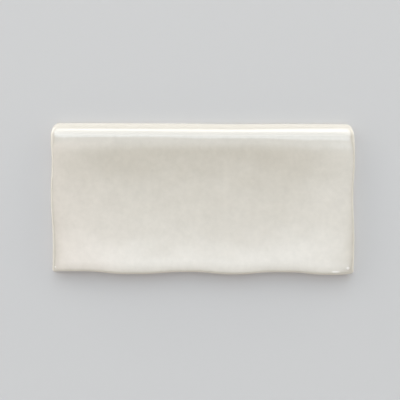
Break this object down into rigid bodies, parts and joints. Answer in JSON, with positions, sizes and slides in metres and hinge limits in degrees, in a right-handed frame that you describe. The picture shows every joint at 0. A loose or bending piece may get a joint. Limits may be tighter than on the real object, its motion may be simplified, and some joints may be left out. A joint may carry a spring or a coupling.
{
  "type": "bullnose tile",
  "caption": "Glazed ceramic wall tile with one long edge rolled over as a rounded nose and soft waves on its other edges, used to finish an exposed edge.",
  "frame": {"origin": "centre of the bounding box on its bottom, where the flat back lies on the floor", "axes": "+X along the tile's long side, +Y towards the rounded nose, +Z out of the glazed face"},
  "size_m": [0.15, 0.075, 0.008],
  "materials": {
    "white_glaze": "gloss"
  },
  "bodies": {
    "root": {"bullnose_tile": "white_glaze"}
  },
  "joints": []
}
